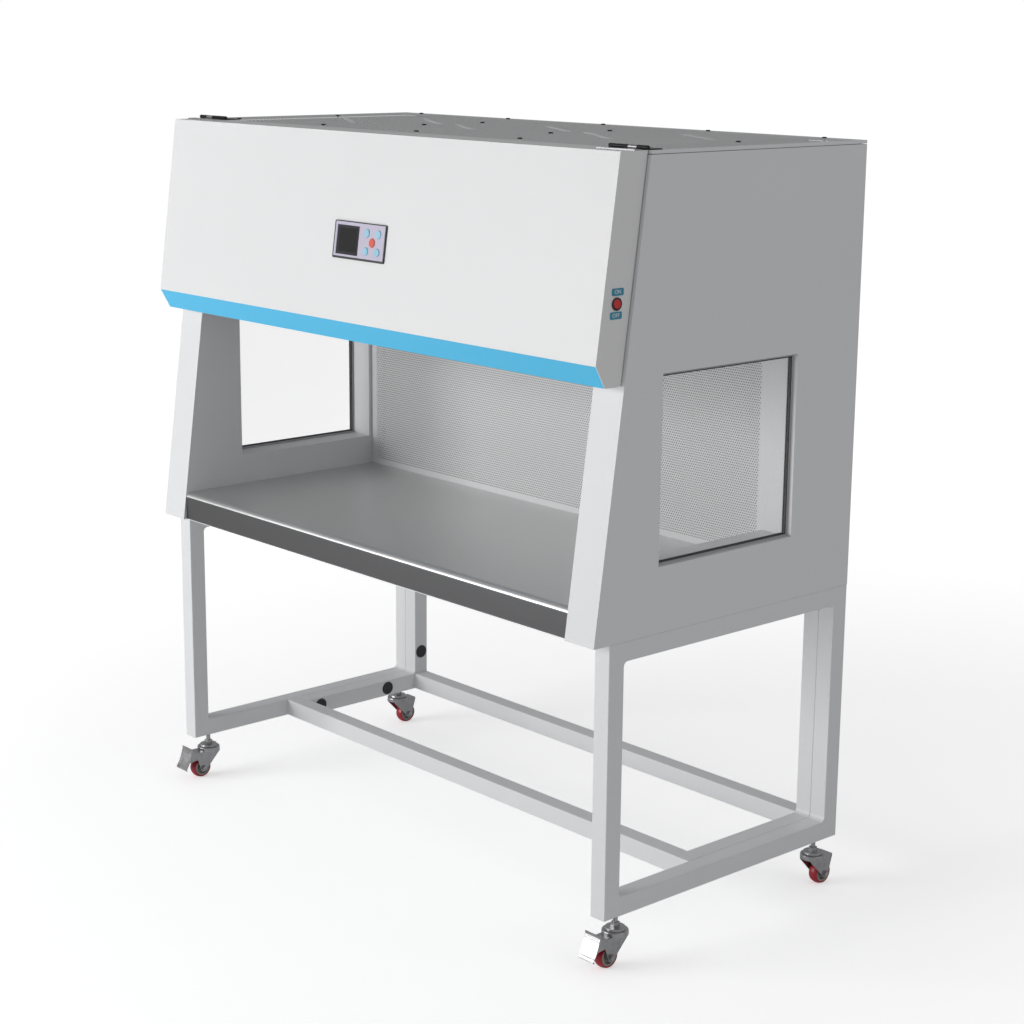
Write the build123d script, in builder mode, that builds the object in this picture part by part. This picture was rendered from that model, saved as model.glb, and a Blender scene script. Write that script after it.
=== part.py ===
from build123d import *
import os
from math import cos, hypot, radians, sin

# A horizontal laminar flow hood: a sheet-metal clean bench on a square-tube stand with casters.
# Millimetres. The origin is on the floor below the centre of the bench, +X to the operator's
# right, +Y to the back and +Z up.

# Cabinet
cabinet_width = 1460
cabinet_depth = 737
cabinet_height = 918
front_lean = 124.5
side_wall = 80
plenum_depth = 88.7
workspace_height = 516
worktop_rise = 63
worktop_setback = 8
lid_height = 8
lid_border = 12
bullnose_radius = 12
sheet = 1.5
seam = 0.3

# Side windows, placed from the cabinet's front edge and underside, and from the diffuser
window_front = 168.5
window_to_diffuser = 8.5
window_base = 131.5
window_height = 373.5
glass_inset = 12
glass_thickness = 5
gasket_width = 7
gasket_lip = 2

# Front cover
cover_inset = 8
cover_gap = 2
cover_top_setback = 53
cover_corner = 10
knee_drop = 384
undercut_depth = 24.5
undercut_drop = 43.5

# Cover hinges
hinge_length = 100
hinge_leaf_depth = 36
hinge_leaf_thickness = 2
hinge_barrel_radius = 4
hinge_pin_radius = 2
hinge_first_knuckle = 50
hinge_middle_knuckle = 23
hinge_knuckle_gap = 0.3
hinge_lift = 0.3
running_gap = 0.06

# Control panel
bezel_width = 170
bezel_height = 78
bezel_thickness = 3
bezel_drop = 218
bezel_corner = 3
module_margin = 6
module_depth = 18
screen_width = 73
screen_height = 60
screen_offset = -38.5
screen_recess = 1.2
button_radius = 8.3
start_button_radius = 9.3
button_gap = 0.3
button_height = 6
button_proud = 1.8
button_travel = 1.5
button_pitch_x = 37
button_pitch_y = 37
button_offset = 43

# Power switch on the right cheek
switch_radius = 12
switch_hole_radius = 9.6
switch_bezel_height = 2.2
switch_body_depth = 16
switch_wall = 1.6
switch_drop = 274
switch_setback = 50
rocker_radius = 9
rocker_thickness = 5
rocker_tilt = 6
rocker_pin_radius = 1.5

# Filters, diffuser, ceiling and deck
diffuser_depth = 20
hepa_depth = 69
hepa_rim = 18
hepa_recess = 8
ceiling_depth = 16
ceiling_setback = 84
lamp_length = 900
lamp_width = 44
lamp_drop = 28
lamp_setback = 150
deck_setback = 100
liner_flange = 44
prefilter_side_gap = 16
prefilter_thickness = 21
prefilter_setback = 160
prefilter_rear_gap = 15
prefilter_rim = 22
prefilter_recess = 3

# Screws of the top panel
screw_head_radius = 5.5
screw_head_height = 2.6
screw_shank_radius = 2
screw_hole_gap = 0.15
screw_length = 13
screw_side_margin = 90
screw_rear_margin = 25
screw_front_margin = 48
screw_middle = 282
screw_bridge_x = 205
screw_bridges = (375, 205)

# Blowers
blower_spacing = 640
scroll_width = 200
scroll_radius = 142
scroll_step = 12
scroll_tongue_turn = 30
scroll_clearance = 9
scroll_sheet = 1.5
outlet_width = 72
outlet_back_gap = 8
inlet_radius = 72
inlet_lip = 6
impeller_radius = 84
impeller_inner_radius = 66
impeller_width = 176
impeller_ring = 4
blade_count = 24
blade_thickness = 1.6
blade_sweep = 12
blade_belly = 8
rotor_radius = 46
rotor_length = 84
rotor_bore_depth = 30
shaft_radius = 6
bracket_thickness = 4
bracket_arm = 14

# Electrical box and mains inlet
box_width = 240
box_depth = 110
box_height = 90
box_corner = 4
inlet_width = 50
inlet_height = 28
inlet_plate_margin = 11
inlet_plate = 2.5
inlet_body_depth = 22
inlet_from_side = 150
inlet_drop = 190

# Stand
frame_height = 559
tube = 40
tube_wall = 2
tube_edge = 2
inner_corner = 10
stand_setback = 42
mid_rail_setback = 317.5
plug_radius = 16.5
plug_lip = 2.4
plug_edge = 1.2
plug_inset = 75.5
rail_plug_pitch = 214
post_plug_height = 97
post_plug_top = 107

# Casters
wheel_diameter = 50
tread_width = 21
tread_crown = 2.6
tyre_thickness = 5.5
tyre_gap = 0.1
hub_boss_radius = 8
hub_rim = 4
hub_web = 8
axle_radius = 4
axle_head = 6.5
axle_head_height = 5
axle_tail = 3
trail = 25
swivel_height = 78
stem_gap = 30
stem_radius = 5
stem_engagement = 16
stem_setback = 50
nut_radius = 9.5
nut_height = 9
king_pin_radius = 6
king_head_radius = 9
king_head_height = 3
race_radius = 27
race_height = 8
race_round = 3
upper_race_radius = 21
upper_race_height = 4.5
race_gap = 0.4
fork_sheet = 2.5
fork_inner = 28
fork_reach = 46
fork_plate_height = 64
fork_back = 22
fork_boss_radius = 9

# Brake pedals of the front casters
pedal_width = 42
pedal_sheet = 2
pedal_gap = 0.5
pedal_pivot_forward = 38
pedal_pivot_height = 57
pedal_pin_radius = 2.5
pedal_ear_radius = 6
pedal_profile = ((-61, 81), (-60, 75), (-64.5, 62), (-69.5, 48), (-75, 38), (-79, 32), (-76, 29))
pedal_rib = 1.3
pedal_ribs = ((-61, 73), (-62.4, 69), (-76, 37))
shoe_width = 16
shoe_forward = 49
shoe_height = 43.5

# Heights
leg_bottom = swivel_height + stem_gap
cabinet_bottom = leg_bottom + frame_height
cabinet_top = cabinet_bottom + cabinet_height
wall_top = cabinet_top - lid_height
worktop_height = cabinet_bottom + worktop_rise
ceiling_height = worktop_height + workspace_height
deck_height = ceiling_height + ceiling_depth + seam
deck_top = deck_height + sheet

# Places across and along the bench
half_width = cabinet_width / 2
half_workspace = half_width - side_wall
panel_half = half_workspace - seam
front = -cabinet_depth / 2
rear = cabinet_depth / 2
worktop_front = front + worktop_setback
hepa_rear = rear - plenum_depth
hepa_front = hepa_rear - hepa_depth
diffuser_front = hepa_front - seam - diffuser_depth
stand_front = front + stand_setback
mid_rail_front = front + mid_rail_setback
stem_front = stand_front + stem_setback
stem_rear = rear - stem_setback
sides = (("left", -1), ("right", 1))

# Screws of the top panel: a row along its front and back, one at each end, and four in the middle
screw_x = half_width - screw_side_margin
screw_rows = (front + front_lean + screw_front_margin, rear - screw_rear_margin)
screw_end_y = (screw_rows[0], rear - screw_middle, screw_rows[1])
screw_spots = [(x * screw_x, y) for x in (-1, -0.5, 0, 0.5, 1) for y in screw_rows]
screw_spots += [(x * screw_x, screw_end_y[1]) for x in (-1, 1)]
screw_spots += [(x * screw_bridge_x, rear - y) for x in (-1, 1) for y in screw_bridges]


def front_at(height):
    """The front of the slanted side walls at a height."""
    return front + front_lean * (height - cabinet_bottom) / cabinet_height


def box_plane(x, y, z):
    """A level plane whose origin is a point."""
    return Plane(origin=(x, y, z))


def keep(name, piece):
    """Label a finished piece and write its file."""
    piece.part.label = name
    export_step(piece.part, f"parts/{name}.step")


os.makedirs("parts", exist_ok=True)

# Side walls
# The outer panel is one folded tray: the face with the window, the slanted front stile, and the
# top, bottom and rear flanges, open towards the workspace.
window_length = diffuser_front - window_to_diffuser - front - window_front
window_centre = (front + window_front + window_length / 2, cabinet_bottom + window_base + window_height / 2)

for side, sign in sides:
    inner_plane = Plane.YZ.offset(sign * half_workspace)
    with BuildPart() as side_panel:
        with BuildSketch(inner_plane):
            with BuildLine():
                Polyline(
                    (front, cabinet_bottom),
                    (rear, cabinet_bottom),
                    (rear, wall_top),
                    (front_at(wall_top), wall_top),
                    close=True,
                )
            make_face()
        extrude(amount=sign * side_wall)
        open_face = side_panel.faces().sort_by(Axis.X)[0 if sign > 0 else -1]
        offset(amount=-sheet, openings=open_face, kind=Kind.INTERSECTION)
        with BuildSketch(inner_plane):
            with Locations(window_centre):
                Rectangle(window_length, window_height)
        extrude(amount=sign * side_wall, mode=Mode.SUBTRACT)
    keep(f"{side}_side_panel", side_panel)

    # The liner closes the tray. It carries the window box and, above the ceiling, a flange that
    # takes the top panel's screws.
    flange_top = wall_top - sheet - seam
    with BuildPart() as side_liner:
        with BuildSketch(inner_plane):
            with BuildLine():
                Polyline(
                    (front, cabinet_bottom),
                    (rear, cabinet_bottom),
                    (rear, wall_top),
                    (front_at(wall_top), wall_top),
                    close=True,
                )
            make_face()
            offset(amount=-sheet - seam, kind=Kind.INTERSECTION, mode=Mode.REPLACE)
        extrude(amount=sign * sheet)
        with BuildSketch(inner_plane):
            with Locations(window_centre):
                Rectangle(window_length + 2 * sheet, window_height + 2 * sheet)
        extrude(amount=sign * (side_wall - sheet))
        with BuildSketch(inner_plane):
            with Locations(window_centre):
                Rectangle(window_length, window_height)
        extrude(amount=sign * side_wall, mode=Mode.SUBTRACT)
        flange_front = front_at(wall_top) + lid_border
        flange_length = rear - 2 * sheet - flange_front
        with BuildSketch(box_plane(sign * half_workspace, flange_front + flange_length / 2, flange_top)):
            Rectangle(2 * liner_flange, flange_length)
            with Locations((sign * liner_flange / 2, 0)):
                Rectangle(liner_flange, flange_length, mode=Mode.SUBTRACT)
        extrude(amount=-sheet)
        with BuildSketch(box_plane(0, 0, flange_top)):
            with Locations(*[(sign * screw_x, y) for y in screw_end_y]):
                Circle(screw_shank_radius + screw_hole_gap)
        extrude(amount=-sheet, mode=Mode.SUBTRACT)
    keep(f"{side}_side_liner", side_liner)

# Each pane stands in its rubber channel a little way inside the outer face.
glass_x = half_width - glass_inset - glass_thickness / 2
with BuildPart() as window_panes:
    for side, sign in sides:
        with BuildSketch(Plane.YZ.offset(sign * glass_x)):
            with Locations(window_centre):
                Rectangle(window_length - 2 * gasket_lip, window_height - 2 * gasket_lip)
        extrude(amount=glass_thickness / 2, both=True)
keep("window_panes", window_panes)

with BuildPart() as window_gaskets:
    for side, sign in sides:
        glass_plane = Plane.YZ.offset(sign * glass_x)
        channel_half = glass_thickness / 2 + gasket_lip
        with BuildSketch(glass_plane):
            with Locations(window_centre):
                Rectangle(window_length, window_height)
                inner_length = window_length - 2 * gasket_width
                inner_height = window_height - 2 * gasket_width
                Rectangle(inner_length, inner_height, mode=Mode.SUBTRACT)
        extrude(amount=channel_half, both=True)
        with BuildSketch(glass_plane):
            with Locations(window_centre):
                Rectangle(window_length - 2 * gasket_lip, window_height - 2 * gasket_lip)
        extrude(amount=glass_thickness / 2, both=True, mode=Mode.SUBTRACT)
keep("window_gaskets", window_gaskets)

# Floor pan, worktop and filter shelf
# The worktop is a folded tray with a rounded front edge. It stands on the pan, and the shelf
# behind it, level with it, carries the diffuser and the filter.
pan_rear = rear - sheet - seam
with BuildPart() as floor_pan:
    with BuildSketch(box_plane(0, (worktop_front + pan_rear) / 2, cabinet_bottom)):
        Rectangle(2 * panel_half, pan_rear - worktop_front)
    extrude(amount=sheet)
keep("floor_pan", floor_pan)

worktop_base = cabinet_bottom + sheet
worktop_rear = diffuser_front - seam
with BuildPart() as work_surface:
    with BuildSketch(box_plane(0, (worktop_front + worktop_rear) / 2, worktop_base)):
        Rectangle(2 * panel_half, worktop_rear - worktop_front)
    extrude(amount=worktop_height - worktop_base)
    front_top_edge = work_surface.edges().filter_by(Axis.X).group_by(Axis.Z)[-1].sort_by(Axis.Y)[0]
    fillet(front_top_edge, radius=bullnose_radius)
    offset(amount=-sheet, openings=work_surface.faces().sort_by(Axis.Z)[0])
keep("work_surface", work_surface)

with BuildPart() as filter_shelf:
    with BuildSketch(box_plane(0, (diffuser_front + hepa_rear) / 2, worktop_base)):
        Rectangle(2 * panel_half, hepa_rear - diffuser_front)
    extrude(amount=worktop_height - worktop_base)
    offset(amount=-sheet, openings=filter_shelf.faces().sort_by(Axis.Z)[0], kind=Kind.INTERSECTION)
keep("filter_shelf", filter_shelf)

# Diffuser and filter
diffuser_height = workspace_height - 2 * seam
with BuildPart() as diffuser_panel:
    with BuildSketch(Plane.XZ.offset(-diffuser_front)):
        with Locations((0, worktop_height + workspace_height / 2)):
            Rectangle(2 * panel_half, diffuser_height)
    extrude(amount=-diffuser_depth)
    offset(amount=-sheet, openings=diffuser_panel.faces().sort_by(Axis.Y)[-1], kind=Kind.INTERSECTION)
keep("diffuser_panel", diffuser_panel)

with BuildPart() as hepa_filter:
    with BuildSketch(Plane.XZ.offset(-hepa_front)):
        with Locations((0, worktop_height + workspace_height / 2)):
            Rectangle(2 * panel_half, diffuser_height)
    extrude(amount=-hepa_depth)
    media_planes = (Plane.XZ.offset(-hepa_front), Plane.XZ.offset(-hepa_rear + hepa_recess))
    for media_plane in media_planes:
        with BuildSketch(media_plane):
            with Locations((0, worktop_height + workspace_height / 2)):
                Rectangle(2 * (panel_half - hepa_rim), diffuser_height - 2 * hepa_rim)
        extrude(amount=-hepa_recess, mode=Mode.SUBTRACT)
keep("hepa_filter", hepa_filter)

# Workspace ceiling, with its lamp, and the deck that carries the blowers
ceiling_front = front + ceiling_setback
with BuildPart() as ceiling_panel:
    with BuildSketch(box_plane(0, (ceiling_front + hepa_rear) / 2, ceiling_height)):
        Rectangle(2 * panel_half, hepa_rear - ceiling_front)
    extrude(amount=ceiling_depth)
    offset(amount=-sheet, openings=ceiling_panel.faces().sort_by(Axis.Z)[-1], kind=Kind.INTERSECTION)
keep("ceiling_panel", ceiling_panel)

with BuildPart() as ceiling_lamp:
    with BuildSketch(box_plane(0, front + lamp_setback, ceiling_height - seam)):
        Rectangle(lamp_length, lamp_width)
    extrude(amount=-lamp_drop)
    lamp_edges = ceiling_lamp.edges().filter_by(Axis.X).group_by(Axis.Z)[0]
    fillet(lamp_edges, radius=lamp_width / 4)
keep("ceiling_lamp", ceiling_lamp)

# Blowers
# Each scroll is a spiral of arcs, from the outlet at the back over the top and round to the tongue.
# It blows down through the deck into the plenum behind the filter.
scroll_back = rear - sheet - outlet_back_gap
scroll_y = scroll_back - scroll_radius - scroll_step / 2
scroll_z = deck_top + scroll_clearance + scroll_radius - 3 * scroll_step
scroll_centre = (scroll_y, scroll_z)
outlet_front = scroll_back - outlet_width
blower_x = blower_spacing / 2

deck_front = front + deck_setback
deck_rear = rear - sheet - seam
outlet_centre = (outlet_front + scroll_back) / 2
with BuildPart() as blower_deck:
    with BuildSketch(box_plane(0, (deck_front + deck_rear) / 2, deck_height)):
        Rectangle(2 * panel_half, deck_rear - deck_front)
        with Locations(*[(sign * blower_x, outlet_centre - (deck_front + deck_rear) / 2) for side, sign in sides]):
            Rectangle(scroll_width - 2 * scroll_sheet, outlet_width - 2 * scroll_sheet, mode=Mode.SUBTRACT)
    extrude(amount=sheet)
keep("blower_deck", blower_deck)

with BuildSketch() as scroll:
    with BuildLine():
        crest = JernArc((scroll_back, scroll_z), (0, 1), scroll_radius, 90)
        front_arc = JernArc(crest @ 1, crest % 1, scroll_radius - scroll_step, 90)
        base_arc = JernArc(front_arc @ 1, front_arc % 1, scroll_radius - 2 * scroll_step, 90)
        tongue = JernArc(base_arc @ 1, base_arc % 1, scroll_radius - 3 * scroll_step, scroll_tongue_turn)
        Polyline(
            tongue @ 1,
            (outlet_front, (tongue @ 1).Y),
            (outlet_front, deck_top),
            (scroll_back, deck_top),
            (scroll_back, scroll_z),
        )
    make_face()

with BuildPart() as blower_housings:
    # A wrapper, open at its mouth, between two side walls with a lipped inlet in each.
    for side, sign in sides:
        scroll_plane = Plane.YZ.offset(sign * blower_x)
        with BuildSketch(scroll_plane):
            add(scroll.sketch)
            offset(scroll.sketch, amount=-scroll_sheet, mode=Mode.SUBTRACT)
            with Locations((outlet_centre, deck_top)):
                Rectangle(outlet_width - 2 * scroll_sheet, 4 * scroll_sheet, mode=Mode.SUBTRACT)
        extrude(amount=scroll_width / 2, both=True)
        for end in (-1, 1):
            wall_plane = scroll_plane.offset(end * (scroll_width / 2 - scroll_sheet))
            with BuildSketch(wall_plane):
                add(scroll.sketch)
                with Locations(scroll_centre):
                    Circle(inlet_radius, mode=Mode.SUBTRACT)
            extrude(amount=end * scroll_sheet)
            with BuildSketch(wall_plane):
                with Locations(scroll_centre):
                    Circle(inlet_radius + scroll_sheet)
                    Circle(inlet_radius, mode=Mode.SUBTRACT)
            extrude(amount=end * (scroll_sheet + inlet_lip))
        # The motor's bracket: a spider across the outer inlet, with the shaft that the rotor runs on.
        bracket_plane = scroll_plane.offset(sign * (scroll_width / 2 + inlet_lip))
        with BuildSketch(bracket_plane):
            with Locations(scroll_centre):
                Circle(rotor_radius / 2)
                with PolarLocations(inlet_radius / 2, 3, start_angle=90):
                    Rectangle(inlet_radius + scroll_sheet, bracket_arm)
        extrude(amount=-sign * bracket_thickness)
        with BuildSketch(bracket_plane):
            with Locations(scroll_centre):
                Circle(shaft_radius)
        shaft_length = scroll_width / 2 + inlet_lip - rotor_length / 2 + rotor_bore_depth - seam
        extrude(amount=-sign * shaft_length)
keep("blower_housings", blower_housings)

# The impellers: two end rings and a centre disc, joined by forward-curved blades, round the
# motor's outer rotor.
with BuildSketch() as blade:
    with BuildLine():
        blade_tip = impeller_radius - blade_thickness
        ThreePointArc(
            (impeller_inner_radius, 0),
            (impeller_inner_radius + blade_belly, blade_belly / 4),
            (blade_tip * cos(radians(blade_sweep)), blade_tip * sin(radians(blade_sweep))),
        )
    trace(line_width=blade_thickness)

for side, sign in sides:
    scroll_plane = Plane.YZ.offset(sign * blower_x)
    with BuildPart() as impeller:
        with BuildSketch(scroll_plane):
            with Locations(scroll_centre):
                Circle(impeller_radius)
        extrude(amount=impeller_ring / 2, both=True)
        for end in (-1, 1):
            with BuildSketch(scroll_plane.offset(end * (impeller_width - impeller_ring) / 2)):
                with Locations(scroll_centre):
                    Circle(impeller_radius)
                    Circle(impeller_inner_radius, mode=Mode.SUBTRACT)
            extrude(amount=impeller_ring / 2, both=True)
        with BuildSketch(scroll_plane):
            with Locations(scroll_centre):
                with PolarLocations(0, blade_count):
                    add(blade.sketch)
        extrude(amount=(impeller_width - impeller_ring) / 2, both=True)
        with BuildSketch(scroll_plane):
            with Locations(scroll_centre):
                Circle(rotor_radius)
        extrude(amount=rotor_length / 2, both=True)
        with BuildSketch(scroll_plane.offset(sign * rotor_length / 2)):
            with Locations(scroll_centre):
                Circle(shaft_radius + running_gap)
        extrude(amount=-sign * rotor_bore_depth, mode=Mode.SUBTRACT)
    keep(f"{side}_impeller", impeller)

# Electrical box on the deck, between the blowers and the front cover
with BuildPart() as electrical_box:
    with BuildSketch(box_plane(0, deck_front + seam + box_depth / 2, deck_top)):
        Rectangle(box_width, box_depth)
    extrude(amount=box_height)
    fillet(electrical_box.edges().filter_by(Axis.Z), radius=box_corner)
keep("electrical_box", electrical_box)

# Rear panel with the mains inlet
inlet_x = half_workspace - inlet_from_side
inlet_z = cabinet_top - inlet_drop
rear_plane = Plane.XZ.offset(-rear)
with BuildPart() as rear_panel:
    with BuildSketch(rear_plane):
        with Locations((0, (cabinet_bottom + wall_top) / 2)):
            Rectangle(2 * panel_half, wall_top - cabinet_bottom)
        with Locations((inlet_x, inlet_z)):
            Rectangle(inlet_width, inlet_height, mode=Mode.SUBTRACT)
    extrude(amount=sheet)
keep("rear_panel", rear_panel)

with BuildPart() as mains_inlet:
    with BuildSketch(rear_plane.offset(sheet)):
        with Locations((inlet_x, inlet_z)):
            plate_width = inlet_width + 2 * inlet_plate_margin
            plate_height = inlet_height + 2 * inlet_plate_margin
            RectangleRounded(plate_width, plate_height, inlet_plate_margin / 2)
    extrude(amount=inlet_plate)
    with BuildSketch(rear_plane):
        with Locations((inlet_x, inlet_z)):
            Rectangle(inlet_width - 2 * seam, inlet_height - 2 * seam)
    extrude(amount=inlet_body_depth)
    with BuildSketch(rear_plane):
        with Locations((inlet_x, inlet_z)):
            Rectangle(inlet_width - 8 * sheet, inlet_height - 6 * sheet)
            Rectangle(inlet_width - 14 * sheet, inlet_height - 12 * sheet, mode=Mode.SUBTRACT)
    extrude(amount=inlet_body_depth * 2 / 3, mode=Mode.SUBTRACT)
keep("mains_inlet", mains_inlet)

# Top panel, pre-filter and screws
# The top panel is a shallow lid. The pre-filter lies against its underside, held by the screws.
top_front = front_at(cabinet_top)
lid_underside = cabinet_top - sheet
with BuildPart() as top_panel:
    with BuildSketch(box_plane(0, (top_front + rear) / 2, wall_top)):
        Rectangle(cabinet_width, rear - top_front)
    extrude(amount=lid_height)
    offset(amount=-sheet, openings=top_panel.faces().sort_by(Axis.Z)[0], kind=Kind.INTERSECTION)
    with BuildSketch(box_plane(0, 0, cabinet_top)):
        with Locations(*screw_spots):
            Circle(screw_shank_radius + screw_hole_gap)
    extrude(amount=-sheet, mode=Mode.SUBTRACT)
keep("top_panel", top_panel)

prefilter_width = 2 * (half_workspace - liner_flange - prefilter_side_gap)
prefilter_depth = cabinet_depth - prefilter_setback - prefilter_rear_gap
prefilter_centre = front + prefilter_setback + prefilter_depth / 2
with BuildPart() as prefilter:
    with BuildSketch(box_plane(0, prefilter_centre, lid_underside)):
        Rectangle(prefilter_width, prefilter_depth)
    extrude(amount=-prefilter_thickness)
    with BuildSketch(box_plane(0, prefilter_centre, lid_underside - prefilter_thickness)):
        Rectangle(prefilter_width - 2 * prefilter_rim, prefilter_depth - 2 * prefilter_rim)
    extrude(amount=prefilter_recess, mode=Mode.SUBTRACT)
    with BuildSketch(box_plane(0, 0, lid_underside)):
        with Locations(*[spot for spot in screw_spots if abs(spot[0]) < prefilter_width / 2]):
            Circle(screw_shank_radius + screw_hole_gap)
    extrude(amount=-screw_length, mode=Mode.SUBTRACT)
keep("prefilter", prefilter)

with BuildPart() as top_screws:
    with BuildSketch(box_plane(0, 0, cabinet_top)):
        with Locations(*screw_spots):
            Circle(screw_head_radius)
    extrude(amount=screw_head_height, taper=25)
    with BuildSketch(box_plane(0, 0, cabinet_top)):
        with Locations(*screw_spots):
            Circle(screw_shank_radius)
    extrude(amount=-screw_length)
keep("top_screws", top_screws)

# Front cover
# A folded box open at the back, hung in front of the slanted stiles. The face leans back above
# the knee, and the band below it is undercut. The hollow is the outline less the sheet, moved
# back through the open side.
cover_half = half_width - cover_inset
face_top = (front + cover_top_setback, cabinet_top)
knee = (front, cabinet_top - knee_drop)
cover_foot = (front + undercut_depth, cabinet_top - knee_drop - undercut_drop)
face_length = hypot(cover_top_setback, knee_drop)
face_up = (cover_top_setback / face_length, knee_drop / face_length)
face_out = (0, -face_up[1], face_up[0])


def face_plane(x, drop, proud=0):
    """A plane on the cover's face, so far below its top edge and proud of it."""
    down = drop / knee_drop
    y = face_top[0] - down * cover_top_setback + proud * face_out[1]
    z = face_top[1] - drop + proud * face_out[2]
    return Plane(origin=(x, y, z), x_dir=(1, 0, 0), z_dir=face_out)


switch_plane = Plane(
    origin=(cover_half, front + switch_setback, cabinet_top - switch_drop),
    x_dir=(0, 1, 0),
    z_dir=(1, 0, 0),
)
module_width = bezel_width - 2 * module_margin
module_height = bezel_height - 2 * module_margin

with BuildPart() as front_cover:
    with BuildSketch(Plane.YZ) as cover_outline:
        with BuildLine():
            Polyline(
                face_top,
                knee,
                cover_foot,
                (front_at(cover_foot[1]) - cover_gap, cover_foot[1]),
                (top_front - cover_gap, cabinet_top),
                close=True,
            )
        make_face()
        low_rear_corner = vertices().group_by(Axis.Y)[0].sort_by(Axis.X)[-1]
        fillet(low_rear_corner, radius=cover_corner)
    extrude(amount=cover_half, both=True)
    with BuildSketch(Plane.YZ):
        hollow = offset(cover_outline.sketch_local, amount=-sheet, kind=Kind.INTERSECTION, mode=Mode.PRIVATE)
        with Locations((0, 0), (2 * sheet, 0)):
            add(hollow)
    extrude(amount=cover_half - sheet, both=True, mode=Mode.SUBTRACT)
    with BuildSketch(face_plane(0, bezel_drop)):
        Rectangle(module_width + 2 * seam, module_height + 2 * seam)
    extrude(amount=-module_depth, mode=Mode.SUBTRACT)
    with BuildSketch(switch_plane):
        Circle(switch_hole_radius + switch_wall + seam)
    extrude(amount=-switch_body_depth, mode=Mode.SUBTRACT)
keep("front_cover", front_cover)

# Control panel
button_places = [(x, y) for x in (-0.5, 0.5) for y in (-0.5, 0.5)]
button_spots = [(button_offset + x * button_pitch_x, y * button_pitch_y) for x, y in button_places]
start_spot = (button_offset, 0)
with BuildPart() as control_bezel:
    with BuildSketch(face_plane(0, bezel_drop)):
        RectangleRounded(bezel_width, bezel_height, bezel_corner)
    extrude(amount=bezel_thickness)
    with BuildSketch(face_plane(0, bezel_drop)):
        Rectangle(module_width, module_height)
    extrude(amount=-module_depth)
    with BuildSketch(face_plane(0, bezel_drop, bezel_thickness)):
        with Locations((screen_offset, 0)):
            Rectangle(screen_width + 2 * seam, screen_height + 2 * seam)
        with Locations(*button_spots):
            Circle(button_radius + button_gap)
        with Locations(start_spot):
            Circle(start_button_radius + button_gap)
    extrude(amount=-button_height - button_travel, mode=Mode.SUBTRACT)
keep("control_bezel", control_bezel)

with BuildPart() as control_screen:
    with BuildSketch(face_plane(0, bezel_drop, bezel_thickness - screen_recess)):
        with Locations((screen_offset, 0)):
            Rectangle(screen_width, screen_height)
    extrude(amount=-button_height - button_travel + screen_recess)
keep("control_screen", control_screen)

button_names = ("lower_left_button", "upper_left_button", "lower_right_button", "upper_right_button")
button_sizes = [(name, spot, button_radius) for name, spot in zip(button_names, button_spots)]
for name, spot, radius in button_sizes + [("start_button", start_spot, start_button_radius)]:
    with BuildPart() as button:
        with BuildSketch(face_plane(0, bezel_drop, bezel_thickness + button_proud)):
            with Locations(spot):
                Circle(radius)
        extrude(amount=-button_height)
        crown = button.edges().filter_by(GeomType.CIRCLE).sort_by(Axis((0, 0, 0), face_out))[-1]
        chamfer(crown, length=button_proud / 2)
    keep(name, button)

# Power switch
# The rocker turns on a pin across the round body, and rests tilted to one side.
tilt = radians(rocker_tilt)
pivot = (cover_half + switch_bezel_height - rocker_thickness, front + switch_setback, cabinet_top - switch_drop)
with BuildPart() as switch_bezel:
    with BuildSketch(switch_plane):
        Circle(switch_radius)
    extrude(amount=switch_bezel_height)
    with BuildSketch(switch_plane):
        Circle(switch_hole_radius + switch_wall)
    extrude(amount=-switch_body_depth)
    with BuildSketch(switch_plane.offset(switch_bezel_height)):
        Circle(switch_hole_radius)
    extrude(amount=-switch_body_depth, mode=Mode.SUBTRACT)
    with BuildSketch(Plane.XZ.offset(-pivot[1])):
        with Locations((pivot[0], pivot[2])):
            Circle(rocker_pin_radius + running_gap)
    extrude(amount=switch_hole_radius + switch_wall, both=True, mode=Mode.SUBTRACT)
keep("switch_bezel", switch_bezel)

with BuildPart() as switch_rocker:
    with BuildSketch(Plane(pivot, x_dir=(0, 1, 0), z_dir=(cos(tilt), 0, sin(tilt)))):
        Circle(rocker_radius)
    extrude(amount=rocker_thickness)
    with BuildSketch(Plane.XZ.offset(-pivot[1])):
        with Locations((pivot[0], pivot[2])):
            Circle(rocker_pin_radius)
    extrude(amount=switch_hole_radius + switch_wall / 2, both=True)
keep("switch_rocker", switch_rocker)

# Cover hinges
# The fixed leaf lies on the top panel and holds the pin; the cover's leaf turns on it.
hinge_y = top_front - cover_gap / 2
hinge_z = cabinet_top + hinge_barrel_radius + hinge_lift
hinge_start = cover_half - hinge_length
middle_start = hinge_start + hinge_first_knuckle
middle_end = middle_start + hinge_middle_knuckle
hinge_end = cover_half


def barrel(start, end, sign, radius, mode=Mode.ADD):
    """A round length of the hinge's barrel, between two distances from the centre line."""
    with BuildSketch(Plane.YZ.offset(sign * start)) as disc:
        with Locations((hinge_y, hinge_z)):
            Circle(radius)
    extrude(disc.sketch, amount=sign * (end - start), mode=mode)


def leaf(start, end, sign, direction):
    """A flat leaf between two distances from the centre line, out from the barrel's axis."""
    leaf_plane = box_plane(sign * (start + end) / 2, hinge_y + direction * hinge_leaf_depth / 2, cabinet_top)
    with BuildSketch(leaf_plane) as strip:
        Rectangle(end - start, hinge_leaf_depth)
    extrude(strip.sketch, amount=hinge_leaf_thickness)


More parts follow.
